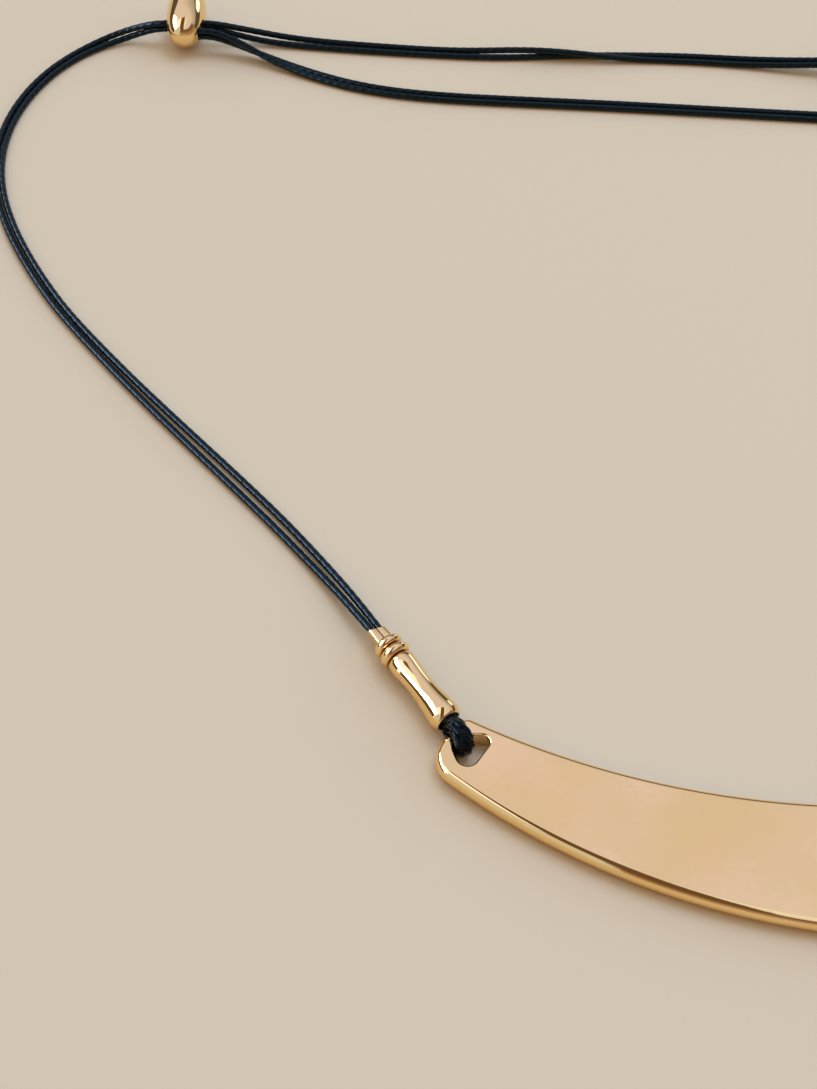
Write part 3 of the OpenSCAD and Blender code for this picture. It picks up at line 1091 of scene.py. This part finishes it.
roomEdges = [
    # parts of the mirrored room by their soft edges: [measure, where it begins, where it is full]
    ("lowBack", ("x", -0.1, 0.4), ("z", 0.85, 0.4)),
    # a dim stretch from overhead to the front, a bright strip at its right, and a dim low front
    ("strip", ("aside", 0.32, 0.22), ("y", 0.34, 0.2), ("z", 0.8, 0.9)),
    ("front", ("aside", 0.1, 0.04), ("y", 0.34, 0.28)),
    ("front", ("y", 0.05, -0.2), ("z", 0.8, 0.62)),
    # on the left a wall, a lamp above it and a window
    ("wall", ("line", -0.16, -0.24), ("y", -0.12, -0.2), ("z", 0.78, 0.7)),
    ("lamp", ("line", -0.3, -0.36), ("y", 0.36, 0.28), ("z", 0.7, 0.78)),
    ("window", ("slant", -0.28, -0.33), ("y", -0.17, -0.12), ("z", 0.73, 0.68)),
    ("horizon", ("z", 0.42, 0.36), ("y", -0.2, -0.1)),
]


def floorPiece():
    bpy.ops.object.select_all(action="DESELECT")
    bpy.ops.mesh.primitive_plane_add(size=6, location=(0, 0, 0))
    floor = bpy.context.object
    floor.name = "floor"
    look, wire = newLook("paleFloor")
    surface = wire.node("ShaderNodeBsdfPrincipled", {}, {
        "Base Color": (*studio["floor"], 1),
        "Roughness": 0.9,
        "Specular IOR Level": 0.0,
    })
    wire.node("ShaderNodeOutputMaterial", {}, {"Surface": surface})
    floor.data.materials.append(look)


def keyLight():
    # one soft panel, high at the right and behind; the gold mirrors the room and not the panel
    place = Vector(studio["keyPlace"])
    bpy.ops.object.light_add(type="AREA", location=place)
    key = bpy.context.object
    key.name = "softKey"
    key.data.shape = "SQUARE"
    key.data.size = studio["keySize"]
    key.data.energy = studio["keyPower"]
    key.data.color = studio["keyColour"]
    key.rotation_euler = place.to_track_quat("Z", "Y").to_euler()
    key.visible_glossy = False


def shareAlong(wire, way, other):
    # the share of a direction that goes along another
    return wire.node("ShaderNodeVectorMath", {"operation": "DOT_PRODUCT"}, {
        0: way, 1: other,
    }, output="Value")


def mirroredRoom(wire, way):
    # what gold and wax mirror, by direction: x to the right, y to the back of the neck, z up
    x, y, z = (wire.node("ShaderNodeSeparateXYZ", {}, {0: way}, output=i) for i in range(3))
    measures = {"x": x, "y": y, "z": z}
    for name, slope in roomLines.items():
        measures[name] = x + y * slope
    low = soft(wire, z, *studio["frontEdge"])
    tones = {**studio, "front": blendOf(wire, low, studio["front"], studio["lowFront"])}
    patches = soft(wire, grain(wire, way, studio["patches"], 3), *studio["patchEdge"])
    tone = blendOf(wire, patches, studio["ceiling"], studio["ceilingWarm"])
    for name, *edges in roomEdges:
        mask = prod(soft(wire, measures[key], begin, full) for key, begin, full in edges)
        tone = blendOf(wire, mask, tone, tones[name])
    spot = soft(wire, shareAlong(wire, way, studio["spotWay"]), *studio["spotEdge"])
    return blendOf(wire, spot, tone, studio["spot"])


def skyLight():
    # a plain pale dome, which lights more from the back; mirroring surfaces see the room instead
    world = bpy.data.worlds.new("studioSky")
    bpy.context.scene.world = world
    world.use_nodes = True
    world.node_tree.nodes.clear()
    wire = Wire(world.node_tree)
    way = wire.node("ShaderNodeTexCoord", output="Generated")
    seen = wire.node("ShaderNodeLightPath", output="Is Camera Ray")
    mirrored = wire.node("ShaderNodeLightPath", output="Is Glossy Ray")
    tone = blendOf(
        wire, soft(wire, shareAlong(wire, way, studio["domeWay"]), -0.5, 0.5),
        studio["domeFront"], studio["domeBack"],
    )
    tone = blendOf(wire, seen, tone, studio["dome"])
    tone = blendOf(wire, mirrored, tone, mirroredRoom(wire, way))
    back = wire.node("ShaderNodeBackground", {}, {"Color": tone})
    wire.node("ShaderNodeOutputWorld", {}, {"Surface": back})


floorPiece()
skyLight()
keyLight()
bpy.context.scene.view_settings.view_transform = "Standard"
print("floor and light set")
